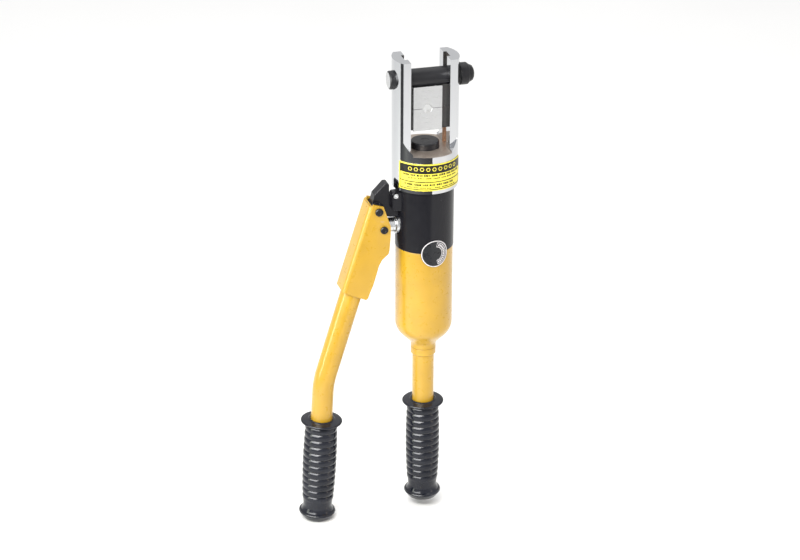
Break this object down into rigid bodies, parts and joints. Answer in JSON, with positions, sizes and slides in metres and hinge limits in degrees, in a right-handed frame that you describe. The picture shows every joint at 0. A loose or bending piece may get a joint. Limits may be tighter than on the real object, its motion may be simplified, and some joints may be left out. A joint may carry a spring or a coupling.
{
  "type": "hand hydraulic crimping tool",
  "caption": "Hand hydraulic crimping tool: chrome yoke head with lock pin and dies, black pump body, yellow barrel, fixed handle, hinged pump handle and ribbed rubber grips.",
  "frame": {"origin": "centre of the fixed grip's closed end face, on the tool's long axis", "axes": "+Z along the tool from the fixed grip to the head; X along the lock pin, with the pump handle on -X; the head's open front faces -Y"},
  "size_m": [0.1875, 0.0698, 0.5127],
  "materials": {
    "chrome": "polished chrome plate, brown bare steel inside the slot",
    "black_oxide": "black oxide on turned steel",
    "black_paint": "satin black powder paint",
    "yellow_paint": "semi-gloss yellow powder paint",
    "ground_steel": "ground bright steel",
    "seal_rubber": "black oil-proof rubber",
    "grip_rubber": "dark blue-grey ribbed rubber",
    "label_plate": "thin printed plate, yellow with a black band",
    "badge_plate": "thin printed plate, black with a pale ring"
  },
  "bodies": {
    "tool_body": {"yoke": "chrome", "upper_die": "ground_steel", "lower_die": "ground_steel", "rod_wiper": "seal_rubber", "return_spring": "ground_steel", "neck_oring": "seal_rubber", "pump_body": "black_paint", "relief_screw": "ground_steel", "relief_spring": "ground_steel", "relief_ball": "ground_steel", "plunger_gland": "ground_steel", "plunger_seal": "seal_rubber", "inlet_ball": "ground_steel", "inlet_seat": "ground_steel", "outlet_ball": "ground_steel", "barrel": "yellow_paint", "barrel_oring": "seal_rubber", "oil_bladder": "seal_rubber", "bladder_clamp": "ground_steel", "neck_collar": "yellow_paint", "label_plate": "label_plate", "badge": "badge_plate"},
    "ram": {"ram": "black_oxide", "ram_seal": "seal_rubber"},
    "lock_pin": {"lock_pin": "black_oxide"},
    "pump_handle": {"handle_channel": "yellow_paint", "pump_handle_tube": "yellow_paint", "pump_grip": "grip_rubber", "pivot_pin": "black_oxide", "plunger_pin": "black_oxide", "pivot_circlip": "ground_steel", "plunger_circlip": "ground_steel"},
    "pump_plunger": {"plunger": "ground_steel"},
    "fixed_handle": {"fixed_handle_tube": "yellow_paint", "fixed_grip": "grip_rubber", "handle_retainer": "ground_steel", "rod_plug": "ground_steel", "release_rod": "ground_steel"},
    "release_needle": {"release_needle": "ground_steel"}
  },
  "joints": [
    {"name": "ram_slide", "type": "slide", "parent": "tool_body", "child": "ram", "axis": [0, 0, 1], "range_m": [0, 0.0135], "stiffness_N_per_m": 2000, "deforming": ["return_spring"]},
    {"name": "lock_pin_slide", "type": "slide", "parent": "tool_body", "child": "lock_pin", "axis": [1, 0, 0], "range_m": [0, 0.08]},
    {"name": "pump_handle_hinge", "type": "hinge", "parent": "tool_body", "child": "pump_handle", "pos_m": [-0.0526, 0, 0.3432], "axis": [0, 1, 0], "range_deg": [-13, 18]},
    {"name": "plunger_slide", "type": "slide", "parent": "tool_body", "child": "pump_plunger", "axis": [1, 0, 0], "range_m": [-0.0066, 0.0048]},
    {"name": "fixed_handle_turn", "type": "hinge", "parent": "tool_body", "child": "fixed_handle", "pos_m": [0, 0, 0.18], "axis": [0, 0, 1], "range_deg": [0, 90]},
    {"name": "release_needle_slide", "type": "slide", "parent": "tool_body", "child": "release_needle", "axis": [0, 0, -1], "range_m": [0, 0.0012]}
  ],
  "couplings": [
    {"joint": "plunger_slide", "follows": "pump_handle_hinge", "m_per_rad": -0.02055},
    {"joint": "release_needle_slide", "follows": "fixed_handle_turn", "m_per_rad": 0.0006}
  ]
}
